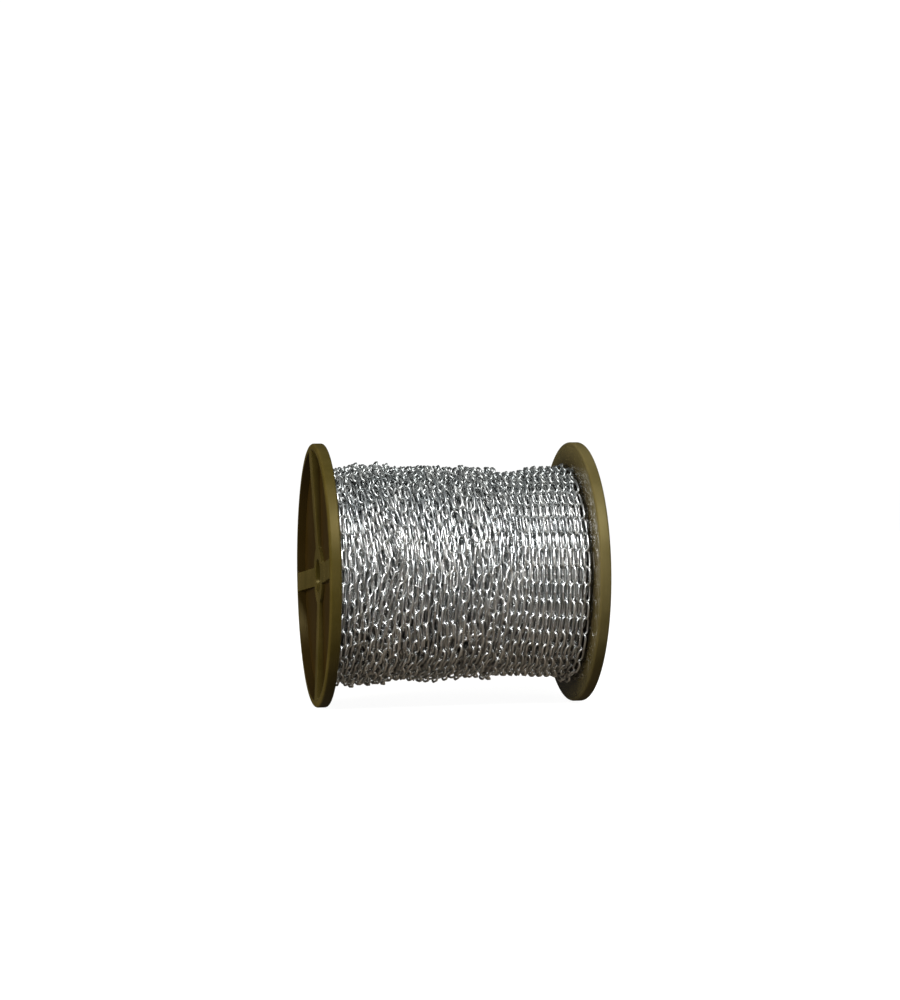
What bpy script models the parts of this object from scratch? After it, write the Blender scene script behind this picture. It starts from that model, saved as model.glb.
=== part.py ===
"""A flanged reel wound full with straight-link steel chain, lying on its rims.

The reel is two moulded flanges on the ends of a core tube. Each flange has a bore for a
shaft, a spigot that plugs into the tube, and a dished outer face with pockets sunk between
its spokes. The chain is wound on the tube, and one turned ring holds its place and outer
shape, with a ridge around it for each turn and a ridge on its ends for each layer.

Metres, +Z up. +X runs along the reel's axis. The origin is on the floor, under the middle.
"""

import math

import bmesh
import bpy
from mathutils import Matrix, Vector

# Reel
REEL_WIDTH = 0.2635
FLANGE_RADIUS = 0.127
FLANGE_THICKNESS = 0.011
RIM_ROUNDING = 0.0022
BORE_RADIUS = 0.016
CORE_RADIUS = 0.0355
CORE_WALL = 0.0037
SPIGOT_LENGTH = 0.014

# Each flange's outer face: the hub lies deeper than the rim, and the pockets deeper still
DISH_DEPTH = 0.005
HUB_RADIUS = 0.026
LIP_WIDTH = 0.0048
POCKETS = 4
POCKET_DEPTH = 0.008
POCKET_INNER_RADIUS = 0.028
SPOKE_WIDTH = 0.018
FIRST_SPOKE_ANGLE = math.radians(8)
CORNER_RADIUS = 0.008

# Wound chain
TURNS_ACROSS = 34
TURN_RIDGE_DEPTH = 0.0030
TURN_CREST = (0.3, 0.7)
LAYERS = 11
LAYER_RIDGE_DEPTH = 0.0015
# The winding's outer radius at places along the reel, from one flange to the other
WINDING_HEIGHTS = [
    (-0.121, 0.1035),
    (-0.080, 0.1062),
    (-0.042, 0.1012),
    (-0.015, 0.1043),
    (0.025, 0.1008),
    (0.060, 0.0990),
    (0.086, 0.1030),
    (0.121, 0.1028),
]

# Fits and mesh fineness
GAP = 0.0003
RIM_SIDES = 72
TUBE_SIDES = 48
WINDING_SIDES = 40
ROUNDING_STEPS = 4
OUTER_ARC_STEPS = 12
INNER_ARC_STEPS = 3
CORNER_STEPS = 4

INNER_WIDTH = REEL_WIDTH - 2 * FLANGE_THICKNESS
POCKET_OUTER_RADIUS = FLANGE_RADIUS - RIM_ROUNDING - LIP_WIDTH
# A flat of the many-sided rim is at the bottom, so the reel's lowest face is at z = 0
AXIS_HEIGHT = FLANGE_RADIUS * math.cos(math.pi / RIM_SIDES)


def remove_scene_objects():
    for item in list(bpy.data.objects):
        bpy.data.objects.remove(item, do_unlink=True)


def make_material(name, colour, roughness, metallic):
    """A Principled material of one colour."""
    material = bpy.data.materials.new(name)
    material.use_nodes = True
    shader = material.node_tree.nodes["Principled BSDF"]
    shader.inputs["Base Color"].default_value = (*colour, 1.0)
    shader.inputs["Roughness"].default_value = roughness
    shader.inputs["Metallic"].default_value = metallic
    material.diffuse_color = (*colour, 1.0)
    return material


def add_object(name, mesh, material):
    """Link a mesh to the scene as a named object, shaded smooth up to its sharp edges."""
    mesh.shade_smooth()
    mesh.set_sharp_from_angle(angle=math.radians(35))
    item = bpy.data.objects.new(name, mesh)
    item.data.materials.append(material)
    bpy.context.collection.objects.link(item)
    return item


def turned_mesh(name, profile, sides):
    """Turn a closed profile of (x, radius) points about the X axis.

    The turning starts half a side from straight down, so that a flat is lowest.
    """
    bm = bmesh.new()
    half_side = math.pi / sides
    start = Matrix.Rotation(math.pi + half_side, 3, "X")
    corners = [bm.verts.new(start @ Vector((x, 0.0, radius))) for x, radius in profile]
    edges = [bm.edges.new((corners[i - 1], corners[i])) for i in range(len(corners))]
    bmesh.ops.spin(
        bm,
        geom=edges,
        cent=(0.0, 0.0, 0.0),
        axis=(1.0, 0.0, 0.0),
        angle=2.0 * math.pi,
        steps=sides,
        use_merge=True,
    )
    bmesh.ops.remove_doubles(bm, verts=bm.verts, dist=1e-6)
    bmesh.ops.recalc_face_normals(bm, faces=bm.faces)
    mesh = bpy.data.meshes.new(name)
    bm.to_mesh(mesh)
    bm.free()
    return mesh


def rounding(centre_x, centre_radius, first_angle):
    """A quarter round of the rim, as (x, radius) points; an angle of 0 points along +X."""
    points = []
    for step in range(ROUNDING_STEPS + 1):
        angle = first_angle + 0.5 * math.pi * step / ROUNDING_STEPS
        x = centre_x + RIM_ROUNDING * math.cos(angle)
        points.append((x, centre_radius + RIM_ROUNDING * math.sin(angle)))
    return points


def flange_profile():
    """The flange's section, with its inner face at x = 0 and its outer face at +X."""
    spigot_radius = CORE_RADIUS - CORE_WALL - GAP
    rim_centre = FLANGE_RADIUS - RIM_ROUNDING
    hub_x = FLANGE_THICKNESS - DISH_DEPTH
    profile = [
        (hub_x, BORE_RADIUS),
        (hub_x, HUB_RADIUS),
        (FLANGE_THICKNESS, POCKET_OUTER_RADIUS),
    ]
    profile += rounding(FLANGE_THICKNESS - RIM_ROUNDING, rim_centre, 0.0)
    profile += rounding(RIM_ROUNDING, rim_centre, 0.5 * math.pi)
    profile += [
        (0.0, spigot_radius),
        (-SPIGOT_LENGTH, spigot_radius),
        (-SPIGOT_LENGTH, BORE_RADIUS),
    ]
    return profile


def arc(radius, first_angle, last_angle, steps):
    """Points in the flange's plane along an arc, ends included."""
    points = []
    for step in range(steps + 1):
        angle = first_angle + (last_angle - first_angle) * step / steps
        points.append(Vector((radius * math.cos(angle), radius * math.sin(angle))))
    return points


def pocket_arc(radius, middle_angle, steps):
    """One of a pocket's arcs, which ends half a spoke's width from the spokes' middle lines."""
    half_angle = math.pi / POCKETS - math.asin(0.5 * SPOKE_WIDTH / radius)
    return arc(radius, middle_angle - half_angle, middle_angle + half_angle, steps)


def upright_edges(bm, places):
    """The edges along X that stand on the given places in the flange's plane."""
    found = []
    for edge in bm.edges:
        low, high = (vertex.co.yz for vertex in edge.verts)
        on_place = any((low - place).length < 1e-6 for place in places)
        if on_place and (high - low).length < 1e-6:
            found.append(edge)
    return found


def pocket_cutter(name, middle_angle):
    """A prism with round corners, from a pocket's floor to past the flange's outer face."""
    outer = pocket_arc(POCKET_OUTER_RADIUS, middle_angle, OUTER_ARC_STEPS)
    inner = pocket_arc(POCKET_INNER_RADIUS, middle_angle, INNER_ARC_STEPS)
    floor_x = FLANGE_THICKNESS - POCKET_DEPTH
    bm = bmesh.new()
    floor = bm.faces.new([bm.verts.new((floor_x, *point)) for point in outer + inner[::-1]])
    walls = bmesh.ops.extrude_face_region(bm, geom=[floor])
    top = [part for part in walls["geom"] if isinstance(part, bmesh.types.BMVert)]
    bmesh.ops.translate(bm, verts=top, vec=(2.0 * POCKET_DEPTH, 0.0, 0.0))
    bmesh.ops.bevel(
        bm,
        geom=upright_edges(bm, [outer[0], outer[-1], inner[0], inner[-1]]),
        offset=CORNER_RADIUS,
        segments=CORNER_STEPS,
        profile=0.5,
        affect="EDGES",
    )
    bmesh.ops.recalc_face_normals(bm, faces=bm.faces)
    mesh = bpy.data.meshes.new(name)
    bm.to_mesh(mesh)
    bm.free()
    cutter = bpy.data.objects.new(name, mesh)
    bpy.context.collection.objects.link(cutter)
    cutter.hide_render = True
    cutter.display_type = "WIRE"
    return cutter


def make_flange(name, inner_face_x, half_turn, material):
    """A flange with its pockets cut. The left one is the right one turned about Z."""
    flange = add_object(name, turned_mesh(name, flange_profile(), RIM_SIDES), material)
    placing = Matrix.Translation((inner_face_x, 0.0, AXIS_HEIGHT))
    if half_turn:
        placing = placing @ Matrix.Rotation(math.pi, 4, "Z")
    flange.matrix_world = placing
    for index in range(POCKETS):
        angle = FIRST_SPOKE_ANGLE + 2.0 * math.pi * (index + 0.5) / POCKETS
        cutter = pocket_cutter(f"{name}_pocket_cutter_{index + 1}", angle)
        cutter.matrix_world = placing
        cut = flange.modifiers.new(f"pocket_{index + 1}", "BOOLEAN")
        cut.operation = "DIFFERENCE"
        cut.solver = "EXACT"
        cut.object = cutter
    return flange


def make_core_tube(material):
    """The tube that the chain is wound on, between the flanges' inner faces."""
    end = 0.5 * INNER_WIDTH - GAP
    inner_radius = CORE_RADIUS - CORE_WALL
    profile = [(end, inner_radius), (end, CORE_RADIUS), (-end, CORE_RADIUS), (-end, inner_radius)]
    tube = add_object("core_tube", turned_mesh("core_tube", profile, TUBE_SIDES), material)
    tube.location = (0.0, 0.0, AXIS_HEIGHT)
    return tube


def winding_radius(x):
    """The winding's outer radius at x, smooth between the places in WINDING_HEIGHTS."""
    for (x0, radius0), (x1, radius1) in zip(WINDING_HEIGHTS, WINDING_HEIGHTS[1:]):
        if x <= x1:
            part = (x - x0) / (x1 - x0)
            blend = 0.5 - 0.5 * math.cos(math.pi * min(max(part, 0.0), 1.0))
            return radius0 + (radius1 - radius0) * blend
    return WINDING_HEIGHTS[-1][1]


def layer_ridges(end, outer_radius):
    """One end of the winding from its bore outwards, with a ridge for each layer."""
    inner_radius = CORE_RADIUS + GAP
    layer_height = (outer_radius - inner_radius) / LAYERS
    valley = end - math.copysign(LAYER_RIDGE_DEPTH, end)
    points = []
    for layer in range(LAYERS):
        radius = inner_radius + layer * layer_height
        points.append((valley, radius))
        points.append((end, radius + 0.5 * layer_height))
    return points


def turn_ridges(end):
    """The winding's outside from its right end to its left, with a ridge for each turn."""
    turn_width = 2.0 * end / TURNS_ACROSS
    points = []
    for turn in range(TURNS_ACROSS):
        side = end - turn * turn_width
        points.append((side, winding_radius(side) - TURN_RIDGE_DEPTH))
        for part in TURN_CREST:
            crest = side - part * turn_width
            points.append((crest, winding_radius(crest)))
    points.append((-end, winding_radius(-end) - TURN_RIDGE_DEPTH))
    return points


def make_wound_chain(material):
    """The winding as one ring, with its turns showing on its outside and its layers on its ends."""
    end = 0.5 * INNER_WIDTH - GAP
    outside = turn_ridges(end)
    profile = layer_ridges(end, outside[0][1]) + outside + layer_ridges(-end, outside[-1][1])[::-1]
    ring = add_object("wound_chain", turned_mesh("wound_chain", profile, WINDING_SIDES), material)
    ring.location = (0.0, 0.0, AXIS_HEIGHT)
    return ring


def main():
    remove_scene_objects()
    moulding = make_material("flange_moulding", (0.105, 0.084, 0.030), 0.32, 0.0)
    fibre = make_material("core_fibre", (0.16, 0.11, 0.06), 0.8, 0.0)
    zinc = make_material("zinc_plated_steel", (0.56, 0.57, 0.58), 0.34, 1.0)
    make_flange("right_flange", 0.5 * INNER_WIDTH, False, moulding)
    make_flange("left_flange", -0.5 * INNER_WIDTH, True, moulding)
    make_core_tube(fibre)
    make_wound_chain(zinc)


main()
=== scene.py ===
"""The looks of a flanged reel wound full with straight-link steel chain.

The winding is laid turn by turn on what lies under it, and every link near its surface is
modelled. The two moulded flanges get rounded edges and recesses. Everything is in metres,
+Z up, with the reel's axis along X and its rims on the floor.
"""

import math

import bpy
import numpy as np
from mathutils import Matrix, Vector


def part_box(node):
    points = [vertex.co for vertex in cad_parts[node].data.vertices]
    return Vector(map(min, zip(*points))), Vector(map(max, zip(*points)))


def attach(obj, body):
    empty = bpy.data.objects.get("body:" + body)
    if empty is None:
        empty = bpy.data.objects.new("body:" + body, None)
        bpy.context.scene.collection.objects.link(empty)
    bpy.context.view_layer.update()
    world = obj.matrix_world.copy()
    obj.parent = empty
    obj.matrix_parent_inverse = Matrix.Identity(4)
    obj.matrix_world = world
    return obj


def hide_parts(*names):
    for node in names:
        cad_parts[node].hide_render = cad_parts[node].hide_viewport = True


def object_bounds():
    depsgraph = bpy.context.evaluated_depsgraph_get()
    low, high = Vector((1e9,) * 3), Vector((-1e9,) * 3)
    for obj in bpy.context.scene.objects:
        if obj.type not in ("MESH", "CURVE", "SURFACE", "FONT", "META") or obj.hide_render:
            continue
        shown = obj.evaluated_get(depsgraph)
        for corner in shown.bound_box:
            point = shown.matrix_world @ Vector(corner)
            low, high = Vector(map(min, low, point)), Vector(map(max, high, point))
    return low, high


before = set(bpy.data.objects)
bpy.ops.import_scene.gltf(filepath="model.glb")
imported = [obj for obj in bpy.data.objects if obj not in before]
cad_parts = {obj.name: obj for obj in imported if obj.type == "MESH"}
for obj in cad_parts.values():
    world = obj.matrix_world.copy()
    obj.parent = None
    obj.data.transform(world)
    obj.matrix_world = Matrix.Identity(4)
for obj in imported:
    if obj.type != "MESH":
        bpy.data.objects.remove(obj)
cad_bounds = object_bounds()

# The reel, read from the frame
reel_low, reel_high = cad_bounds
winding_low, winding_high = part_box("wound_chain")
tube_low, tube_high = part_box("core_tube")
AXIS_HEIGHT = 0.5 * (reel_low[2] + reel_high[2])
FLANGE_RADIUS = 0.5 * (reel_high[2] - reel_low[2])
HALF_WIDTH = 0.5 * (winding_high.x - winding_low.x)
TUBE_RADIUS = 0.5 * (tube_high.y - tube_low.y)

# Flanges, as in the solids
FLANGE_THICKNESS = 0.011
RIM_ROUNDING = 0.0022
DISH_RADIUS = 0.1210
DISH_DEPTH = 0.005
HUB_RADIUS = 0.026
BORE_RADIUS = 0.016
SPIGOT_RADIUS = 0.0315
SPIGOT_LENGTH = 0.014
POCKETS = 4
POCKET_DEPTH = 0.008
POCKET_INNER_RADIUS = 0.028
POCKET_OUTER_RADIUS = 0.120
SPOKE_WIDTH = 0.018
FIRST_SPOKE_ANGLE = math.radians(8)
CORNER_RADIUS = 0.008
RIM_SIDES = 144
EDGE_ROUNDING = 0.0007
INNER_FACE_X = reel_high[0] - FLANGE_THICKNESS

# The chain: inside length of a link, wire, and the space that one strand takes
PITCH = 0.0154
WIRE = 0.0022
LINK_WIDTH = 0.0095
CROWN_RADIUS = 0.5 * (LINK_WIDTH - WIRE)
HALF_STRAIGHT = 0.5 * (PITCH + WIRE) - CROWN_RADIUS
WELD_RADIUS = 0.00135
WELD_HALF_LENGTH = 0.0005
TURN_PITCH = 0.0070
STRAND_RADIUS = 0.0032
WALL_CLEARANCE = 0.0045
# Joints further apart than this, as from the third layer to the fourth, get no link between them
LONGEST_STEP = 1.6 * PITCH

# The laying of the strands
BED_RADIUS = 0.0790
BED_ANGLES = 256
BED_STEP = 0.0005
RING_DROP = 0.0015
SAG = 0.0011
SAG_PASSES = 12
LARGEST_SLIDE = 0.0028
SLIDE_COST = 0.2
JOINT_DRIFT = 0.033
OWN_WAY_RATE = 4.3
OWN_WAY_FINE_RATE = 12.1
SLIP_RATE = 2.7
SEED = 3


def smooth_noise(generator, knots):
    """A smooth random curve between -1 and 1, as a function of position."""
    values = generator.uniform(-1.0, 1.0, knots)

    def read(position):
        base = np.floor(position).astype(int)
        part = position - base
        blend = part * part * (3.0 - 2.0 * part)
        first = values[base % knots]
        return first + (values[(base + 1) % knots] - first) * blend

    return read


def moving_mean(values, reach):
    """The mean of each value and its neighbours, around a closed turn."""
    kernel = np.ones(2 * reach + 1) / (2 * reach + 1)
    padded = np.concatenate([values[-reach:], values, values[:reach]])
    return np.convolve(padded, kernel, "valid")


def order_of_rows(x):
    """0 where the turns are jumbled, at the left and middle, to 1 where they lie in rows."""
    return 1.0 / (1.0 + np.exp(-(x - 0.035) / 0.010))


def swell(x, place, width):
    """A smooth rise along the reel, 1 at its place and near 0 beyond twice its width."""
    return np.exp(-(((x - place) / width) ** 2))


class Bed:
    """The height of what has been wound so far, over the angle and the place along the reel."""

    def __init__(self):
        self.xs = np.arange(-HALF_WIDTH, HALF_WIDTH + 0.5 * BED_STEP, BED_STEP)
        self.angles = np.arange(BED_ANGLES) * 2.0 * math.pi / BED_ANGLES
        x = self.xs[None, :]
        angle = self.angles[:, None]
        rows = order_of_rows(x)
        # The swells and hollows follow the winding's outline in the photograph
        right_step = (0.0032 + 0.0010 * np.sin(angle)) / (1.0 + np.exp(-(x - 0.077) / 0.0025))
        humps = 0.0010 * swell(x, -0.075, 0.030) + 0.0005 * swell(x, -0.010, 0.020) + 0.0024 * rows
        off_centre = np.sin(angle) * (0.0016 * swell(x, -0.005, 0.030) - 0.0014 * rows)
        lumps = 0.0032 * swell(x, -0.083, 0.012) + 0.0024 * swell(x, -0.018, 0.008)
        hollows = 0.0010 * swell(x, -0.048, 0.012) + 0.0034 * swell(x, 0.018, 0.018)
        below = np.clip(-np.sin(angle), 0.0, 1.0) * (lumps - hollows)
        wave = 0.0006 * np.sin(3.0 * angle + 40.0 * x)
        self.height = BED_RADIUS + humps + right_step + off_centre + below + wave

    def ridge(self, x):
        """Which places a strand at x covers, and how far it rises over its centre there."""
        offset = self.xs[None, :] - x[:, None]
        rise = np.sqrt(np.clip(STRAND_RADIUS**2 - offset**2, 0.0, None))
        return np.abs(offset) < STRAND_RADIUS, rise

    def support(self, angle, x):
        """How high a strand's centre lies at each joint of a turn."""
        cells = np.interp(self.angles, angle, x)
        inside, rise = self.ridge(cells)
        lie = np.where(inside, self.height + rise, 0.0).max(axis=1)
        index = np.round(angle / (2.0 * math.pi) * BED_ANGLES).astype(int) % BED_ANGLES
        beside = 0.5 * (np.roll(lie, 2)[index] + np.roll(lie, -2)[index])
        return np.maximum(lie[index], beside)

    def lay(self, angle, x, radius):
        """Add a turn to the bed."""
        cells = np.interp(self.angles, angle, x)
        inside, rise = self.ridge(cells)
        centre = np.interp(self.angles, angle, radius)
        self.height = np.maximum(self.height, np.where(inside, centre[:, None] + rise, 0.0))


def layer_places():
    """The places of the turns of each layer, in the order in which they are wound."""
    edge = HALF_WIDTH - WALL_CLEARANCE
    turns = int(2.0 * edge / TURN_PITCH) + 1
    rows = np.linspace(-edge, edge, turns)
    between = rows[:-1] + 0.5 * (rows[1] - rows[0])
    close_turns = np.arange(-0.1130, -0.0650, TURN_PITCH)
    spread_turns = [-0.060, -0.050, -0.044, -0.033, -0.026, -0.018]
    last_turns = [-0.011, 0.003, 0.013, 0.020, 0.032, 0.043]
    last = np.concatenate([close_turns, spread_turns, last_turns])
    return [between, rows[::-1], between, last[::-1]]


def sideways_bend(angle, x):
    """How far the turns near the left end swing to the right at the front, from 0 to 1."""
    degrees = np.degrees(angle) % 360.0
    going_out = np.clip((degrees - 108.0) / 57.0, 0.0, 1.0)
    coming_back = np.clip((212.0 - degrees) / 47.0, 0.0, 1.0)
    return np.minimum(going_out, coming_back) * swell(x, -0.080, 0.014)


def wind_chain():
    """Lay the outer layers and return each joint's angle, place, radius and layer."""
    generator = np.random.RandomState(SEED)
    own_way = smooth_noise(generator, 997)
    own_way_fine = smooth_noise(generator, 1499)
    slip = smooth_noise(generator, 611)
    edge = HALF_WIDTH - WALL_CLEARANCE
    bed = Bed()
    joints = []
    number = 0
    last_move = 0.0
    own_size = (0.0006, 0.0006, 0.0007, 0.0012)
    wave_size = (0.0007, 0.0009, 0.0012, 0.0016)
    bend_size = (0.0, 0.0, 0.004, 0.021)
    slide_choices = np.linspace(-LARGEST_SLIDE, LARGEST_SLIDE, 9)
    for layer, places in enumerate(layer_places()):
        waves = []
        for count in range(2, 10):
            phase, strength, twist = generator.uniform((0.0, -1.0, -25.0), (2.0 * math.pi, 1.0, 25.0))
            waves.append((count, phase, strength * wave_size[layer], twist))
        typical_radius = np.median(bed.height) + 0.8 * STRAND_RADIUS
        links = 2 * int(round(math.pi * typical_radius / PITCH))
        step = np.arange(links) / links
        for i, start in enumerate(places):
            end = places[min(i + 1, len(places) - 1)]
            base = start + (end - start) * step
            along = number + step
            wander = own_way(along * OWN_WAY_RATE) + 0.5 * own_way_fine(along * OWN_WAY_FINE_RATE)
            shift = own_size[layer] * wander
            for count, phase, size, twist in waves:
                shift = shift + size * np.sin(2.0 * math.pi * count * step + phase + base * twist)
            near_wall = np.clip((edge - np.abs(base)) / 0.020, 0.0, 1.0)
            wild = (1.0 - 0.88 * order_of_rows(base)) * (0.15 + 0.85 * near_wall)
            drift = JOINT_DRIFT * number + 0.5 * wild * slip(along * SLIP_RATE)
            angle = 2.0 * math.pi * (step + drift / links)
            bend = bend_size[layer] * sideways_bend(angle, base)
            x = np.clip(base + shift * wild + bend, -edge, edge)
            lies = []
            for slide in slide_choices:
                height = bed.support(angle, np.clip(x + slide, -edge, edge))
                lies.append(height + SLIDE_COST * abs(slide))
            move = moving_mean(slide_choices[np.argmin(lies, axis=0)], 2)
            move = move + (last_move - move[0]) * np.exp(-np.arange(links) / 4.0)
            last_move = move[-1]
            x = np.clip(x + move, -edge, edge)
            radius = bed.support(angle, x)
            for _ in range(SAG_PASSES):
                radius = np.maximum(radius, 0.5 * (np.roll(radius, 1) + np.roll(radius, -1)) - SAG)
            bed.lay(angle, x, radius)
            joints.append(np.column_stack([angle, x, radius, np.full(links, layer)]))
            number += 1
    return np.concatenate(joints)


def deselect_all():
    if bpy.context.mode != "OBJECT":
        bpy.ops.object.mode_set(mode="OBJECT")
    bpy.ops.object.select_all(action="DESELECT")


def extrude_along_x(distance):
    bpy.ops.mesh.extrude_region_move(TRANSFORM_OT_translate={"value": (distance, 0.0, 0.0)})


def extrude_upward(distance):
    bpy.ops.mesh.extrude_region_move(TRANSFORM_OT_translate={"value": (0.0, 0.0, distance)})


def spin_crown(steps, centre_x):
    """Carry the selected wire section half way round one end of the link."""
    bpy.ops.mesh.spin(steps=steps, angle=math.pi, center=(centre_x, 0.0, 0.0), axis=(0.0, 0.0, -1.0))


def scale_section(factor):
    """Make the selected wire section in the middle of the welded side thicker or thinner."""
    side = (0.0, -CROWN_RADIUS, 0.0)
    bpy.ops.transform.resize(value=(1.0, factor, factor), center_override=side)


def model_link(crown_steps, wire_sides, with_weld):
    """The points and faces of one link, its length along X, drawn out of its wire's section."""
    deselect_all()
    bpy.ops.mesh.primitive_circle_add(
        vertices=wire_sides,
        radius=WELD_RADIUS if with_weld else 0.5 * WIRE,
        location=(0.0, -CROWN_RADIUS, 0.0),
        rotation=(0.0, 0.5 * math.pi, 0.0),
    )
    link = bpy.context.active_object
    bpy.ops.object.transform_apply(location=True, rotation=True, scale=True)
    bpy.ops.object.mode_set(mode="EDIT")
    bpy.ops.mesh.select_all(action="SELECT")
    thinning = 0.5 * WIRE / WELD_RADIUS
    if with_weld:
        extrude_along_x(WELD_HALF_LENGTH)
        scale_section(thinning)
        extrude_along_x(HALF_STRAIGHT - WELD_HALF_LENGTH)
    else:
        bpy.ops.transform.translate(value=(HALF_STRAIGHT, 0.0, 0.0))
    spin_crown(crown_steps, HALF_STRAIGHT)
    extrude_along_x(-2.0 * HALF_STRAIGHT)
    spin_crown(crown_steps, -HALF_STRAIGHT)
    if with_weld:
        extrude_along_x(HALF_STRAIGHT - WELD_HALF_LENGTH)
        extrude_along_x(WELD_HALF_LENGTH)
        scale_section(1.0 / thinning)
    else:
        extrude_along_x(2.0 * HALF_STRAIGHT)
    bpy.ops.mesh.select_all(action="SELECT")
    bpy.ops.mesh.remove_doubles(threshold=0.00001)
    bpy.ops.mesh.normals_make_consistent(inside=False)
    bpy.ops.object.mode_set(mode="OBJECT")
    points = np.array([vertex.co for vertex in link.data.vertices])
    faces = np.array([tuple(polygon.vertices) for polygon in link.data.polygons])
    bpy.data.objects.remove(link, do_unlink=True)
    return points, faces


def point_on_reel(angle, x, radius):
    """The place at an angle about the axis; the turns begin at the back and rise over the top."""
    return np.column_stack([x, radius * np.cos(angle), AXIS_HEIGHT + radius * np.sin(angle)])


def link_places(joints):
    """The middle, long axis, flat normal, layer and place along the reel of every link."""
    angle, x, radius, layer = joints.T
    points = point_on_reel(angle, x, radius)
    first = points[:-1]
    second = points[1:]
    middle = 0.5 * (first + second)
    long_axis = second - first
    length = np.linalg.norm(long_axis, axis=1)
    long_axis = long_axis / length[:, None]
    outward = middle - np.array([0.0, 0.0, AXIS_HEIGHT])
    outward[:, 0] = 0.0
    outward = outward - (outward * long_axis).sum(axis=1)[:, None] * long_axis
    outward = outward / np.linalg.norm(outward, axis=1)[:, None]
    sideways = np.cross(outward, long_axis)
    generator = np.random.RandomState(SEED + 1)
    twist = smooth_noise(generator, 1201)(np.arange(len(middle)) * 0.21)
    own_lean = generator.uniform(-1.0, 1.0, len(middle))
    jumbled = 1.0 - order_of_rows(middle[:, 0])
    turned_over = np.where(np.arange(len(middle)) % 2 == 0, 1.0, -1.0)
    lean_degrees = 52.0 * turned_over - 10.0
    lean_degrees = lean_degrees + (18.0 + 14.0 * jumbled) * twist + (5.0 + 7.0 * jumbled) * own_lean
    lean = np.radians(lean_degrees)
    normal = np.cos(lean)[:, None] * outward + np.sin(lean)[:, None] * sideways
    return middle, long_axis, normal, layer[:-1], length


def join_links(name, shape, places, chosen):
    """One mesh of all the chosen links."""
    points, faces = shape
    middle, long_axis, normal, _, _ = (part[chosen] for part in places)
    across = np.cross(normal, long_axis)
    turning = np.stack([long_axis, across, normal], axis=2)
    placed = np.einsum("nij,pj->npi", turning, points) + middle[:, None, :]
    count = len(middle)
    offsets = np.arange(count)[:, None, None] * len(points)
    all_faces = (faces[None, :, :] + offsets).reshape(-1, faces.shape[1])
    mesh = bpy.data.meshes.new(name)
    mesh.from_pydata(placed.reshape(-1, 3).tolist(), [], all_faces.tolist())
    shade = np.random.RandomState(SEED + 2 + len(name)).uniform(0.0, 1.0, count)
    attribute = mesh.attributes.new("link_shade", "FLOAT", "POINT")
    attribute.data.foreach_set("value", np.repeat(shade, len(points)).astype(np.float32))
    weld = (np.abs(points[:, 0]) < 1.2 * WELD_HALF_LENGTH) & (points[:, 1] < 0.0)
    attribute = mesh.attributes.new("weld", "FLOAT", "POINT")
    attribute.data.foreach_set("value", np.tile(weld, count).astype(np.float32))
    mesh.shade_smooth()
    piece = bpy.data.objects.new(name, mesh)
    bpy.context.scene.collection.objects.link(piece)
    return piece


def make_chain():
    """The five pieces of modelled links; only the outer ones show their welds.

    Neighbouring links pass up to 1 mm into each other, in part because a link keeps its
    length where its joints lie further apart. A few, nearly all in the last layer, aren't
    linked to the next one.
    """
    joints = wind_chain()
    places = link_places(joints)
    middle, _, _, layer, length = places
    whole = length < LONGEST_STEP
    fine_link = model_link(4, 6, True)
    plain_link = model_link(4, 6, False)
    coarse_link = model_link(3, 5, False)
    left = middle[:, 0] < 0.0
    pieces = [
        join_links("chain_inner_turns", coarse_link, places, whole & (layer == 0)),
        join_links("chain_under_turns", plain_link, places, whole & (layer == 1)),
        join_links("chain_outer_turns_left", fine_link, places, whole & (layer == 2) & left),
        join_links("chain_outer_turns_right", fine_link, places, whole & (layer == 2) & ~left),
        join_links("chain_last_turns", fine_link, places, whole & (layer == 3)),
    ]
    return pieces


def make_deep_turns():
    """A plain ring in place of the turns that lie too deep to be seen."""
    piece = add_disc("chain_deep_turns", BED_RADIUS - RING_DROP, -HALF_WIDTH, HALF_WIDTH, 120)
    cut_away(piece, add_disc("tube_cutter", TUBE_RADIUS, -2.0 * HALF_WIDTH, 2.0 * HALF_WIDTH, 72))
    piece.data.transform(Matrix.Translation((0.0, 0.0, AXIS_HEIGHT)))
    return piece


def select_by(kind, test):
    """In edit mode, select the edges whose two ends, or the faces whose middle and normal,
    pass a test."""
    bpy.ops.mesh.select_all(action="DESELECT")
    bpy.ops.mesh.select_mode(type=kind)
    bpy.ops.object.mode_set(mode="OBJECT")
    mesh = bpy.context.active_object.data
    if kind == "FACE":
        for face in mesh.polygons:
            face.select = test(face.center, face.normal)
    else:
        for edge in mesh.edges:
            first, second = (mesh.vertices[index].co for index in edge.vertices)
            edge.select = test(first, second)
    bpy.ops.object.mode_set(mode="EDIT")


def polar_radius(point):
    """The distance from the reel's axis of a point in the flange's own frame."""
    return math.hypot(point[1], point[2])


def cut_away(target, cutter):
    """Cut one object out of another and remove the cutter."""
    deselect_all()
    bpy.context.view_layer.objects.active = target
    target.select_set(True)
    cut = target.modifiers.new("cut", "BOOLEAN")
    cut.operation = "DIFFERENCE"
    cut.solver = "EXACT"
    cut.object = cutter
    bpy.ops.object.modifier_apply(modifier=cut.name)
    bpy.data.objects.remove(cutter, do_unlink=True)


def add_disc(name, radius, low_x, high_x, sides):
    """A solid disc square to X, its mesh in the flange's own frame."""
    deselect_all()
    bpy.ops.mesh.primitive_cylinder_add(
        vertices=sides,
        radius=radius,
        depth=high_x - low_x,
        location=(0.5 * (low_x + high_x), 0.0, 0.0),
        rotation=(0.0, 0.5 * math.pi, 0.0),
    )
    disc = bpy.context.active_object
    disc.name = name
    bpy.ops.object.transform_apply(location=True, rotation=True, scale=True)
    return disc


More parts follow.
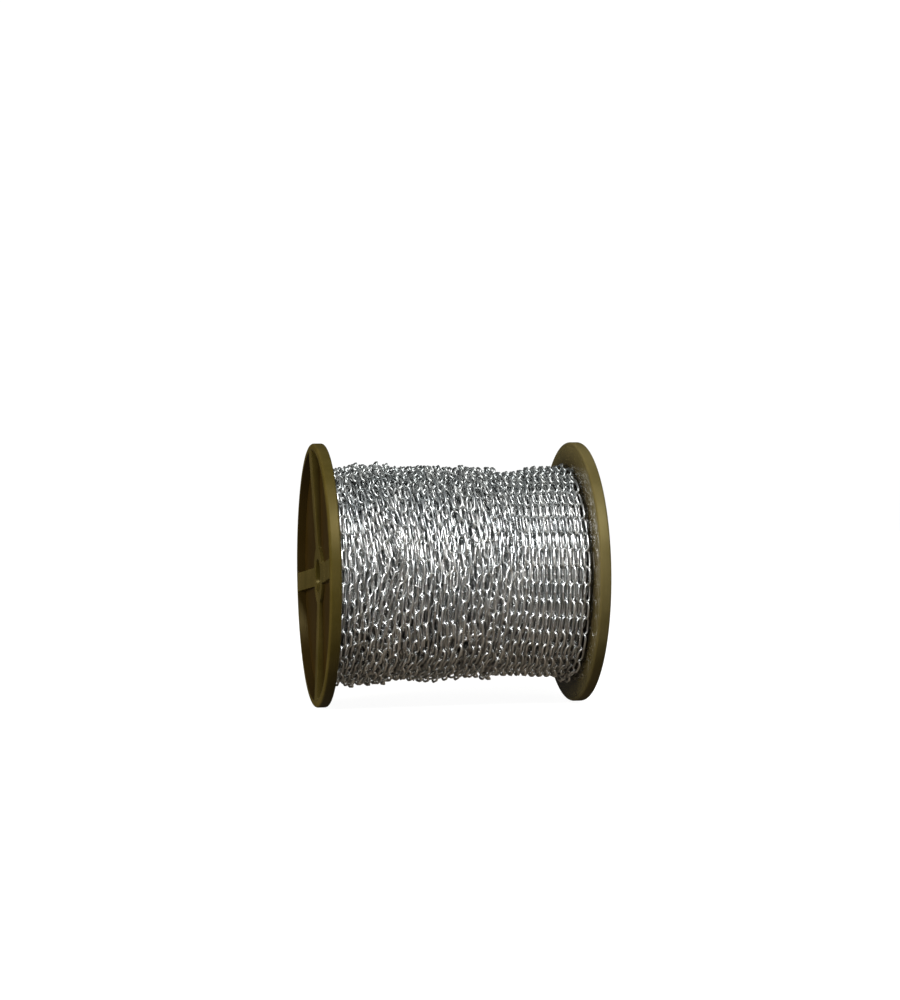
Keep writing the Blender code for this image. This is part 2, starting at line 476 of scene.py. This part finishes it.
def model_pocket_cutter():
    """A quarter disc with round corners, kept half a spoke's width away from two spokes."""
    floor = FLANGE_THICKNESS - POCKET_DEPTH
    beyond = 2.0 * FLANGE_THICKNESS
    cutter = add_disc("pocket_cutter", POCKET_OUTER_RADIUS, floor, beyond, RIM_SIDES)
    bpy.ops.object.mode_set(mode="EDIT")
    for normal in ((0.0, -1.0, 0.0), (0.0, 0.0, -1.0)):
        bpy.ops.mesh.select_all(action="SELECT")
        edge_point = tuple(-0.5 * SPOKE_WIDTH * part for part in normal)
        bpy.ops.mesh.bisect(plane_co=edge_point, plane_no=normal, use_fill=True, clear_outer=True)
    bpy.ops.object.mode_set(mode="OBJECT")
    hub_cutter = add_disc("hub_cutter", POCKET_INNER_RADIUS, floor - 0.01, beyond + 0.01, RIM_SIDES)
    cut_away(cutter, hub_cutter)
    bpy.ops.object.mode_set(mode="EDIT")
    half_spoke = 0.5 * SPOKE_WIDTH + 0.0001

    def is_upright_corner(first, second):
        along_x = abs(first.y - second.y) + abs(first.z - second.z) < 0.00001
        at_spoke = min(first.y, first.z) < half_spoke
        return along_x and at_spoke

    select_by("EDGE", is_upright_corner)
    bpy.ops.mesh.bevel(offset=CORNER_RADIUS, segments=7, profile=0.5, affect="EDGES")
    bpy.ops.object.mode_set(mode="OBJECT")
    return cutter


def model_flange():
    """The right flange in its own frame: its inner face at x = 0 and its outer face towards +X."""
    flange = add_disc("flange", FLANGE_RADIUS, 0.0, FLANGE_THICKNESS, RIM_SIDES)
    bpy.ops.object.mode_set(mode="EDIT")
    select_by("EDGE", lambda first, second: abs(first.x - second.x) < 0.0001)
    bpy.ops.mesh.bevel(offset=RIM_ROUNDING, segments=5, profile=0.5, affect="EDGES")
    flat_radius = FLANGE_RADIUS - RIM_ROUNDING
    select_by("FACE", lambda middle, normal: normal.x > 0.99 and polar_radius(middle) < 0.01)
    bpy.ops.mesh.inset(thickness=flat_radius - DISH_RADIUS, depth=0.0)
    bpy.ops.mesh.inset(thickness=DISH_RADIUS - HUB_RADIUS, depth=-DISH_DEPTH)
    select_by("FACE", lambda middle, normal: normal.x < -0.99 and polar_radius(middle) < 0.01)
    bpy.ops.mesh.inset(thickness=flat_radius - SPIGOT_RADIUS, depth=0.0)
    extrude_along_x(-SPIGOT_LENGTH)
    bpy.ops.object.mode_set(mode="OBJECT")
    cut_away(flange, add_disc("bore_cutter", BORE_RADIUS, -0.03, 0.03, 96))
    cutter = model_pocket_cutter()
    for index in range(POCKETS):
        pocket = cutter.copy()
        pocket.data = cutter.data.copy()
        bpy.context.scene.collection.objects.link(pocket)
        angle = FIRST_SPOKE_ANGLE + 2.0 * math.pi * index / POCKETS
        pocket.data.transform(Matrix.Rotation(angle, 4, "X"))
        cut_away(flange, pocket)
    bpy.data.objects.remove(cutter, do_unlink=True)
    round_edges(flange, EDGE_ROUNDING)
    mark_recesses(flange.data)
    return flange


def mark_recesses(mesh):
    """Note which points lie deep in a pocket, on its floor or outer wall, where the moulding gets
    painted shade.
    """
    floor = FLANGE_THICKNESS - POCKET_DEPTH
    recess = mesh.attributes.new("recess", "FLOAT", "POINT")
    for vertex in mesh.vertices:
        radius = polar_radius(vertex.co)
        on_floor = abs(vertex.co.x - floor) < 0.001 and POCKET_INNER_RADIUS < radius < DISH_RADIUS
        on_outer_wall = vertex.co.x > floor and abs(radius - POCKET_OUTER_RADIUS) < 0.0006
        recess.data[vertex.index].value = 1.0 if on_floor or on_outer_wall else 0.0


def round_edges(piece, width):
    """Round a piece's sharp edges and shade it smooth up to what stays sharp."""
    deselect_all()
    bpy.context.view_layer.objects.active = piece
    piece.select_set(True)
    rounding = piece.modifiers.new("rounding", "BEVEL")
    rounding.width = width
    rounding.segments = 2
    rounding.limit_method = "ANGLE"
    rounding.angle_limit = math.radians(40.0)
    rounding.use_clamp_overlap = True
    bpy.ops.object.modifier_apply(modifier=rounding.name)
    bpy.ops.object.shade_smooth_by_angle(angle=math.radians(32.0))


def make_flanges(material):
    """Both flanges from one model; the left one is the right one turned half round about Z."""
    model = model_flange()
    for name, half_turns in (("right_flange", 0), ("left_flange", 1)):
        piece = model.copy()
        piece.data = model.data.copy()
        piece.name = name + "_moulding"
        piece.data.name = piece.name
        placing = Matrix.Translation((INNER_FACE_X, 0.0, AXIS_HEIGHT))
        piece.data.transform(Matrix.Rotation(half_turns * math.pi, 4, "Z") @ placing)
        piece.data.materials.clear()
        piece.data.materials.append(material)
        bpy.context.scene.collection.objects.link(piece)
        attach(piece, "root")
        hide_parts(name)
    bpy.data.objects.remove(model, do_unlink=True)


class Value:
    """A number that a material's nodes work out, with arithmetic that adds Math nodes."""

    def __init__(self, finish, socket):
        self.finish = finish
        self.socket = socket

    def __add__(self, other):
        return self.finish.maths("ADD", self, other)

    def __sub__(self, other):
        return self.finish.maths("SUBTRACT", self, other)

    def __rsub__(self, other):
        return self.finish.maths("SUBTRACT", other, self)

    def __mul__(self, other):
        return self.finish.maths("MULTIPLY", self, other)

    __radd__ = __add__
    __rmul__ = __mul__


class Finish:
    """A material in the making: its nodes, and the Principled shader that they feed."""

    def __init__(self, name):
        self.material = bpy.data.materials.new(name)
        self.material.use_nodes = True
        self.tree = self.material.node_tree
        self.shader = self.tree.nodes["Principled BSDF"]

    def node(self, kind, settings=None, inputs=None, output=0):
        """Add a node, set its settings and then its inputs, and return one of its outputs."""
        made = self.tree.nodes.new("ShaderNode" + kind)
        for key, value in (settings or {}).items():
            if key == "stops":
                fill_ramp(made.color_ramp, value)
            else:
                setattr(made, key, value)
        for key, value in (inputs or {}).items():
            self.feed(made.inputs[key], value)
        return Value(self, made.outputs[output])

    def feed(self, socket, value):
        """Link a value to a socket, or set the socket to a plain number or colour."""
        if isinstance(value, Value):
            self.tree.links.new(value.socket, socket)
        elif isinstance(value, tuple) and len(value) == 3 and len(socket.default_value) == 4:
            socket.default_value = (*value, 1.0)
        else:
            socket.default_value = value

    def maths(self, operation, *values):
        return self.node("Math", {"operation": operation}, dict(enumerate(values)))

    def limit(self, value, low, high):
        """Where a value lies between low and high, from 0 to 1, smoothly."""
        settings = {"interpolation_type": "SMOOTHSTEP"}
        return self.node("MapRange", settings, {"Value": value, "From Min": low, "From Max": high})

    def mix(self, factor, first, second):
        """A colour between two colours."""
        return self.node("Mix", {"data_type": "RGBA"}, {0: factor, 6: first, 7: second}, 2)

    def noise(self, place, scale, detail=3.0, roughness=0.5):
        inputs = {"Vector": place, "Scale": scale, "Detail": detail, "Roughness": roughness}
        return self.node("TexNoise", None, inputs)

    def bump(self, height, distance):
        inputs = {"Height": height, "Distance": distance, "Strength": 1.0}
        return self.node("Bump", None, inputs)

    def shade(self, **inputs):
        """Feed the shader; an underscore in a name stands for a space."""
        for key, value in inputs.items():
            self.feed(self.shader.inputs[key.replace("_", " ")], value)
        return self.material


def fill_ramp(ramp, stops):
    """Give a colour ramp its stops, as (place, colour) pairs."""
    while len(ramp.elements) < len(stops):
        ramp.elements.new(0.5)
    for element, (place, colour) in zip(ramp.elements, stops):
        element.position = place
        element.color = (*colour, 1.0)


def make_zinc():
    """Bright zinc plating on wire: a fine grain, some dull links, dull welds, and painted shade on
    the top of the winding, which is also a little rougher there as with dust.
    """
    finish = Finish("zinc_plating")
    place = finish.node("TexCoord", None, None, 3)
    shade = finish.node("Attribute", {"attribute_name": "link_shade"}, None, 2)
    weld = finish.node("Attribute", {"attribute_name": "weld"}, None, 2)
    grain = finish.noise(place, 900.0, 2.0)
    patches = finish.noise(place, 22.0, 2.0)
    tone = finish.limit(shade * 0.55 + patches * 0.9, 0.35, 1.05)
    colour = finish.mix(tone, (0.50, 0.52, 0.53), (0.70, 0.70, 0.69))
    colour = finish.mix(weld * 0.55, colour, (0.33, 0.31, 0.30))
    height = finish.node("SeparateXYZ", None, {"Vector": place}, 2)
    # Painted shade: the top of the winding is painted darker and greyer, where less light falls on
    # it, and made a little rougher.
    top_shade_and_dust = finish.limit(height, AXIS_HEIGHT + 0.045, AXIS_HEIGHT + 0.105)
    colour = finish.mix(top_shade_and_dust * 0.5, colour, (0.24, 0.26, 0.25))
    roughness = 0.31 + 0.08 * shade + 0.12 * grain + 0.10 * weld + 0.08 * top_shade_and_dust
    return finish.shade(
        Base_Color=colour,
        Metallic=1.0,
        Roughness=roughness,
        Normal=finish.bump(grain, 0.00006),
    )


def make_moulding():
    """Glossy olive plastic, darker at the left, with painted shade in the pockets and beside the
    chain, and rougher and a little darker on the rims."""
    finish = Finish("olive_moulding")
    place = finish.node("TexCoord", None, None, 3)
    mottle = finish.noise(place, 30.0, 4.0, 0.6)
    fine = finish.noise(place, 700.0, 2.0)
    x, y, z = (finish.node("SeparateXYZ", None, {"Vector": place}, axis) for axis in range(3))
    height = z - AXIS_HEIGHT
    radius = finish.maths("SQRT", y * y + height * height)
    right = finish.limit(x, -HALF_WIDTH, HALF_WIDTH)
    from_middle = finish.maths("ABSOLUTE", x)
    inner_face = 1.0 - finish.limit(from_middle, INNER_FACE_X + 0.0002, INNER_FACE_X + 0.0012)
    # Painted shade on the flanges' inner faces next to the winding, where the chain shades them.
    shade_beside_chain = inner_face * (1.0 - finish.limit(radius, 0.100, 0.124))
    shadowed = (0.014, 0.009, 0.002)
    darker = finish.mix(right, (0.029, 0.022, 0.004), (0.050, 0.040, 0.014))
    paler = finish.mix(right, (0.041, 0.031, 0.008), (0.067, 0.054, 0.021))
    colour = finish.mix(finish.limit(mottle, 0.3, 0.7), darker, paler)
    # Painted shade: the pocket floors and outer walls are painted near black, as the shade in the
    # recesses, and made rougher.
    recess = finish.node("Attribute", {"attribute_name": "recess"}, None, 2)
    colour = finish.mix(0.85 * recess, colour, (0.010, 0.005, 0.001))
    colour = finish.mix(0.8 * shade_beside_chain, colour, shadowed)
    rim = finish.limit(radius, DISH_RADIUS, DISH_RADIUS + 0.0025)
    colour = finish.mix(0.15 * rim, colour, shadowed)
    roughness = 0.16 + 0.12 * mottle + 0.06 * fine + 0.12 * recess + 0.24 * rim
    return finish.shade(
        Base_Color=colour,
        Metallic=0.0,
        Roughness=roughness,
        Specular_IOR_Level=0.20,
        Specular_Tint=(1.0, 0.82, 0.35),
        Coat_Weight=0.7 * inner_face,
        Coat_Roughness=0.10,
        Normal=finish.bump(fine, 0.00004),
    )


def make_fibre():
    """Brown wound paper tube."""
    finish = Finish("fibre_tube")
    place = finish.node("TexCoord", None, None, 3)
    mottle = finish.noise(place, 120.0, 4.0, 0.6)
    colour = finish.mix(mottle, (0.13, 0.085, 0.045), (0.21, 0.15, 0.09))
    relief = finish.bump(mottle, 0.0002)
    return finish.shade(Base_Color=colour, Metallic=0.0, Roughness=0.85, Normal=relief)


def make_camera():
    """The photograph's view: a little left of square on and a little above."""
    yaw = math.radians(10.7)
    elevation = math.radians(4.8)
    distance = 17.52 * FLANGE_RADIUS
    level = math.cos(elevation)
    back = Vector((-math.sin(yaw) * level, -math.cos(yaw) * level, math.sin(elevation)))
    data = bpy.data.cameras.new("camera")
    data.lens = 82.3
    data.sensor_width = 36.0
    data.shift_x = 0.0027
    data.shift_y = 0.0735
    camera = bpy.data.objects.new("camera", data)
    camera.location = Vector((0.0, 0.0, AXIS_HEIGHT)) + distance * back
    camera.rotation_euler = (-back).to_track_quat("-Z", "Y").to_euler()
    bpy.context.scene.collection.objects.link(camera)
    bpy.context.scene.camera = camera


def make_stage():
    """A pale round floor that curves up into a backdrop on every side."""
    deselect_all()
    floor_radius = 3.0
    bpy.ops.mesh.primitive_circle_add(vertices=96, radius=floor_radius, fill_type="NGON")
    stage = bpy.context.active_object
    stage.name = "stage_floor"
    bpy.ops.object.mode_set(mode="EDIT")
    bpy.ops.mesh.select_all(action="SELECT")
    bpy.ops.mesh.select_mode(type="EDGE")
    bpy.ops.mesh.region_to_loop()
    bend_radius = 1.5
    radius_before = floor_radius
    height_before = 0.0
    for step in range(1, 13):
        angle = 0.5 * math.pi * step / 12
        radius = floor_radius + bend_radius * math.sin(angle)
        height = bend_radius * (1.0 - math.cos(angle))
        extrude_upward(height - height_before)
        grow = radius / radius_before
        bpy.ops.transform.resize(value=(grow, grow, 1.0), center_override=(0.0, 0.0, 0.0))
        radius_before = radius
        height_before = height
    extrude_upward(4.0)
    bpy.ops.object.mode_set(mode="OBJECT")
    bpy.ops.object.shade_smooth_by_angle(angle=math.radians(30.0))
    finish = Finish("stage_white")
    material = finish.shade(
        Base_Color=(0.16, 0.16, 0.16),
        Roughness=0.9,
        Specular_IOR_Level=0.0,
        Emission_Color=(1.0, 1.0, 1.0),
        Emission_Strength=0.96,
    )
    stage.data.materials.append(material)
    stage.visible_glossy = False
    stage.visible_diffuse = False


def add_area_light(name, location, size, energy, colour):
    data = bpy.data.lights.new(name, "AREA")
    data.energy = energy
    data.size = size
    data.color = colour
    light = bpy.data.objects.new(name, data)
    light.location = location
    aim = Vector((0.0, 0.0, AXIS_HEIGHT)) - Vector(location)
    light.rotation_euler = aim.to_track_quat("-Z", "Y").to_euler()
    bpy.context.scene.collection.objects.link(light)
    return light


def make_light():
    """Two soft keys above the camera, weak lights below and beside, and a dim studio."""
    add_area_light("left_light", (-0.20, -1.55, 1.82), 0.6, 46.0, (1.0, 0.99, 0.97))
    add_area_light("right_light", (0.65, -1.45, 1.86), 0.6, 66.0, (0.98, 1.0, 1.0))
    add_area_light("low_light", (0.30, -1.70, 0.05), 0.3, 4.0, (1.0, 0.95, 0.86))
    side_light = add_area_light("side_light", (-2.4, -0.45, 0.40), 1.2, 165.0, (1.0, 0.95, 0.80))
    fill_light = add_area_light("fill_light", (2.4, 0.60, 0.70), 1.2, 40.0, (1.0, 0.98, 0.92))
    for light in (side_light, fill_light):
        light.visible_glossy = False
    world = bpy.data.worlds.new("studio")
    world.use_nodes = True
    nodes = world.node_tree.nodes
    links = world.node_tree.links
    direction = nodes.new("ShaderNodeTexCoord")
    parts = nodes.new("ShaderNodeSeparateXYZ")
    links.new(direction.outputs["Generated"], parts.inputs[0])
    height = nodes.new("ShaderNodeMapRange")
    height.inputs["From Min"].default_value = -1.0
    links.new(parts.outputs["Z"], height.inputs["Value"])
    ramp = nodes.new("ShaderNodeValToRGB")
    fill_ramp(
        ramp.color_ramp,
        [
            (0.0, (0.36, 0.29, 0.21)),
            (0.42, (0.165, 0.15, 0.13)),
            (0.55, (0.12, 0.13, 0.13)),
            (0.80, (0.15, 0.17, 0.18)),
            (1.0, (0.08, 0.09, 0.09)),
        ],
    )
    links.new(height.outputs[0], ramp.inputs[0])
    front = nodes.new("ShaderNodeMapRange")
    front.inputs["From Min"].default_value = -1.0
    front.inputs["To Min"].default_value = 1.15
    front.inputs["To Max"].default_value = 0.15
    links.new(parts.outputs["Y"], front.inputs["Value"])
    background = nodes["Background"]
    links.new(ramp.outputs[0], background.inputs["Color"])
    links.new(front.outputs[0], background.inputs["Strength"])
    bpy.context.scene.world = world
    bpy.context.scene.view_settings.view_transform = "Standard"


make_camera()
make_stage()
make_light()
make_flanges(make_moulding())
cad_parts["core_tube"].data.materials.clear()
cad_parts["core_tube"].data.materials.append(make_fibre())
zinc = make_zinc()
for piece in [make_deep_turns(), *make_chain()]:
    piece.data.materials.append(zinc)
    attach(piece, "root")
    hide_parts("wound_chain")
